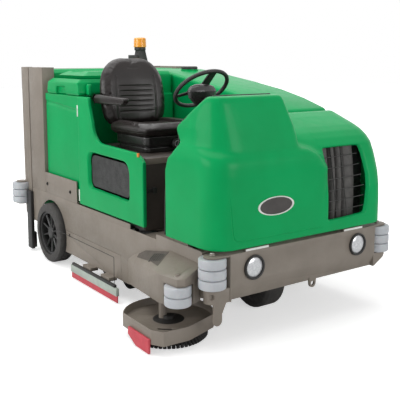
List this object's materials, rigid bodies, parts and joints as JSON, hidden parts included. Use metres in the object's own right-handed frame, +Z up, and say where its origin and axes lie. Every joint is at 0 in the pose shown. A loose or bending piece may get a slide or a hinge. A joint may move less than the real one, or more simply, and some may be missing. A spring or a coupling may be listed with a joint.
{
  "type": "ride-on floor scrubber machine",
  "caption": "Ride-on floor scrubber and sweeper: seat, steering wheel, twin tanks, scrub head under side doors, side brush, squeegees, tipping hopper on rear masts, rubbing wall rollers.",
  "frame": {"origin": "middle of the box's base, on the floor", "axes": "+X to the machine's left, +Y to its rear, +Z up; it drives towards -Y"},
  "size_m": [1.7582, 2.7716, 1.735],
  "materials": {
    "green_cover": "glossy moulded green",
    "chassis_paint": "satin warm grey paint",
    "dark_steel": "satin black paint",
    "black_plastic": "matte black",
    "tyre_rubber": "dark grey rubber",
    "seat_vinyl": "black seat vinyl",
    "roller_plastic": "pale grey plastic",
    "red_rubber": "red rubber",
    "bristle": "black bristle",
    "amber_lens": "amber lens",
    "lamp_glass": "clear lamp front over a reflector"
  },
  "bodies": {
    "chassis": {"front_bumper": "chassis_paint", "floor_deck": "chassis_paint", "side_skirt_right": "chassis_paint", "side_skirt_left": "chassis_paint", "main_frame": "chassis_paint", "brush_outrigger": "chassis_paint", "mast_right": "chassis_paint", "mast_left": "chassis_paint", "recovery_tank": "green_cover", "solution_tank": "green_cover", "front_shroud": "green_cover", "radiator_grille": "black_plastic", "radiator": "dark_steel", "engine_block": "dark_steel", "seat_support": "dark_steel", "dash_console": "black_plastic", "squeegee_guard_right": "dark_steel", "squeegee_guard_left": "dark_steel", "headlight_right": "lamp_glass", "headlight_left": "lamp_glass", "beacon_post": "black_plastic", "beacon_lens": "amber_lens", "seat_base": "black_plastic"},
    "engine_door": {"engine_side_door": "green_cover"},
    "brush_door_right": {"main_brush_door_right": "chassis_paint", "side_squeegee_right": "red_rubber"},
    "brush_door_left": {"main_brush_door_left": "chassis_paint", "side_squeegee_left": "red_rubber"},
    "recovery_lid": {"recovery_tank_lid": "green_cover"},
    "filler_cap": {"solution_tank_cap": "black_plastic"},
    "steer": {"steer_fork": "dark_steel"},
    "drive_wheel_body": {"drive_wheel": "tyre_rubber"},
    "column": {"steering_column": "black_plastic"},
    "wheel_of_steering": {"steering_wheel": "black_plastic"},
    "horn": {"horn_button": "black_plastic"},
    "rear_wheel_right_body": {"rear_tyre_right": "tyre_rubber", "rear_wheel_right": "dark_steel"},
    "rear_wheel_left_body": {"rear_tyre_left": "tyre_rubber", "rear_wheel_left": "dark_steel"},
    "scrub_head": {"scrub_head_frame": "dark_steel"},
    "front_scrub_brush": {"scrub_brush_front": "bristle"},
    "rear_scrub_brush": {"scrub_brush_rear": "bristle"},
    "side_brush_lift": {"side_brush_guard": "chassis_paint", "side_brush_flap": "red_rubber"},
    "side_brush_disc": {"side_brush": "bristle"},
    "rear_squeegee": {"rear_squeegee_frame": "dark_steel", "rear_squeegee_blade": "red_rubber"},
    "hopper_lift": {"hopper_carriage": "chassis_paint"},
    "hopper": {"debris_hopper": "green_cover"},
    "front_rollers_right": {"wall_rollers_front_right": "roller_plastic"},
    "front_rollers_left": {"wall_rollers_front_left": "roller_plastic"},
    "outrigger_rollers": {"wall_rollers_outrigger": "roller_plastic"},
    "rear_rollers_right": {"wall_rollers_rear_right": "roller_plastic"},
    "rear_rollers_left": {"wall_rollers_rear_left": "roller_plastic"},
    "seat": {"seat_cushion": "seat_vinyl"},
    "backrest": {"seat_backrest": "seat_vinyl"},
    "armrest_body": {"armrest": "black_plastic"},
    "weight_knob": {"seat_weight_knob": "black_plastic"},
    "drive_pedal_body": {"drive_pedal": "black_plastic"},
    "brake_pedal_body": {"brake_pedal": "black_plastic"}
  },
  "joints": [
    {"name": "engine_door_hinge", "type": "hinge", "parent": "chassis", "child": "engine_door", "pos_m": [-0.55885, 0.2934, 0.537], "axis": [0, 0, -1], "range_deg": [0, 100]},
    {"name": "brush_door_right_hinge", "type": "hinge", "parent": "chassis", "child": "brush_door_right", "pos_m": [-0.56385, -0.3204, 0.2], "axis": [0, 0, 1], "range_deg": [0, 110]},
    {"name": "brush_door_left_hinge", "type": "hinge", "parent": "chassis", "child": "brush_door_left", "pos_m": [0.77415, -0.3204, 0.2], "axis": [0, 0, -1], "range_deg": [0, 110]},
    {"name": "recovery_lid_hinge", "type": "hinge", "parent": "chassis", "child": "recovery_lid", "pos_m": [0.00515, 0.534, 1.483], "axis": [0, 1, 0], "range_deg": [0, 80]},
    {"name": "filler_cap_hinge", "type": "hinge", "parent": "chassis", "child": "filler_cap", "pos_m": [0.54515, 0.566, 1.495], "axis": [-1, 0, 0], "range_deg": [0, 100]},
    {"name": "steer_turn", "type": "hinge", "parent": "chassis", "child": "steer", "pos_m": [0.10515, -0.906, 0.49], "axis": [0, 0, 1], "range_deg": [-75, 75]},
    {"name": "drive_wheel_spin", "type": "hinge", "parent": "steer", "child": "drive_wheel_body", "pos_m": [0.10515, -0.906, 0.2], "axis": [1, 0, 0], "continuous": true},
    {"name": "column_tilt", "type": "hinge", "parent": "chassis", "child": "column", "pos_m": [-0.19485, -0.9374, 1.1142], "axis": [1, 0, 0], "range_deg": [-5, 5]},
    {"name": "steering_wheel_turn", "type": "hinge", "parent": "column", "child": "wheel_of_steering", "pos_m": [-0.19485, -0.706, 1.39], "axis": [0, 0.6428, 0.766], "range_deg": [-810, 810]},
    {"name": "horn_press", "type": "slide", "parent": "wheel_of_steering", "child": "horn", "axis": [0, -0.6428, -0.766], "range_m": [0, 0.003], "stiffness_N_per_m": 200, "springref_m": -0.004},
    {"name": "rear_wheel_right_spin", "type": "hinge", "parent": "chassis", "child": "rear_wheel_right_body", "pos_m": [-0.60485, 0.774, 0.23], "axis": [1, 0, 0], "continuous": true},
    {"name": "rear_wheel_left_spin", "type": "hinge", "parent": "chassis", "child": "rear_wheel_left_body", "pos_m": [0.81515, 0.774, 0.23], "axis": [1, 0, 0], "continuous": true},
    {"name": "scrub_head_lift", "type": "slide", "parent": "chassis", "child": "scrub_head", "axis": [0, 0, 1], "range_m": [0, 0.06]},
    {"name": "front_scrub_brush_spin", "type": "hinge", "parent": "scrub_head", "child": "front_scrub_brush", "pos_m": [0.10515, -0.166, 0.101], "axis": [1, 0, 0], "continuous": true},
    {"name": "rear_scrub_brush_spin", "type": "hinge", "parent": "scrub_head", "child": "rear_scrub_brush", "pos_m": [0.10515, 0.134, 0.101], "axis": [1, 0, 0], "continuous": true},
    {"name": "side_brush_raise", "type": "slide", "parent": "chassis", "child": "side_brush_lift", "axis": [0, 0, 1], "range_m": [0, 0.04]},
    {"name": "side_brush_spin", "type": "hinge", "parent": "side_brush_lift", "child": "side_brush_disc", "pos_m": [-0.62985, -0.991, 0.09], "axis": [0, 0, 1], "continuous": true},
    {"name": "rear_squeegee_swing", "type": "hinge", "parent": "chassis", "child": "rear_squeegee", "pos_m": [0.10515, 0.889, 0.28], "axis": [1, 0, 0], "range_deg": [0, 25]},
    {"name": "hopper_lift_slide", "type": "slide", "parent": "chassis", "child": "hopper_lift", "axis": [0, 0, 1], "range_m": [0, 0.65]},
    {"name": "hopper_dump", "type": "hinge", "parent": "hopper_lift", "child": "hopper", "pos_m": [0.10515, 1.189, 1.42], "axis": [1, 0, 0], "range_deg": [0, 50]},
    {"name": "front_rollers_right_spin", "type": "hinge", "parent": "chassis", "child": "front_rollers_right", "pos_m": [-0.55385, -1.31, 0.351], "axis": [0, 0, 1], "continuous": true},
    {"name": "front_rollers_left_spin", "type": "hinge", "parent": "chassis", "child": "front_rollers_left", "pos_m": [0.76415, -1.31, 0.351], "axis": [0, 0, 1], "continuous": true},
    {"name": "outrigger_rollers_spin", "type": "hinge", "parent": "chassis", "child": "outrigger_rollers", "pos_m": [-0.70485, -1.201, 0.255], "axis": [0, 0, 1], "continuous": true},
    {"name": "rear_rollers_right_spin", "type": "hinge", "parent": "hopper_lift", "child": "rear_rollers_right", "pos_m": [-0.59185, 1.31, 0.39], "axis": [0, 0, 1], "continuous": true},
    {"name": "rear_rollers_left_spin", "type": "hinge", "parent": "hopper_lift", "child": "rear_rollers_left", "pos_m": [0.80215, 1.31, 0.39], "axis": [0, 0, 1], "continuous": true},
    {"name": "seat_slide", "type": "slide", "parent": "chassis", "child": "seat", "axis": [0, 1, 0], "range_m": [-0.08, 0]},
    {"name": "backrest_recline", "type": "hinge", "parent": "seat", "child": "backrest", "pos_m": [-0.19485, 0.104, 1.1], "axis": [1, 0, 0], "range_deg": [-6, 5]},
    {"name": "armrest_fold", "type": "hinge", "parent": "backrest", "child": "armrest_body", "pos_m": [-0.48485, 0.114, 1.3], "axis": [1, 0, 0], "range_deg": [-85, 0]},
    {"name": "weight_knob_turn", "type": "hinge", "parent": "chassis", "child": "weight_knob", "pos_m": [-0.17485, -0.3863, 1.02], "axis": [0, 1, 0], "continuous": true},
    {"name": "drive_pedal_press", "type": "hinge", "parent": "chassis", "child": "drive_pedal_body", "pos_m": [-0.05485, -0.776, 0.5043], "axis": [1, 0, 0], "range_deg": [0, 20], "stiffness_Nm_per_rad": 3, "springref_deg": -17.19},
    {"name": "brake_pedal_press", "type": "hinge", "parent": "chassis", "child": "brake_pedal_body", "pos_m": [-0.32485, -0.776, 0.5043], "axis": [1, 0, 0], "range_deg": [0, 20], "stiffness_Nm_per_rad": 3, "springref_deg": -17.19}
  ],
  "couplings": [
    {"joint": "steering_wheel_turn", "follows": "steer_turn", "ratio": 10.8}
  ]
}
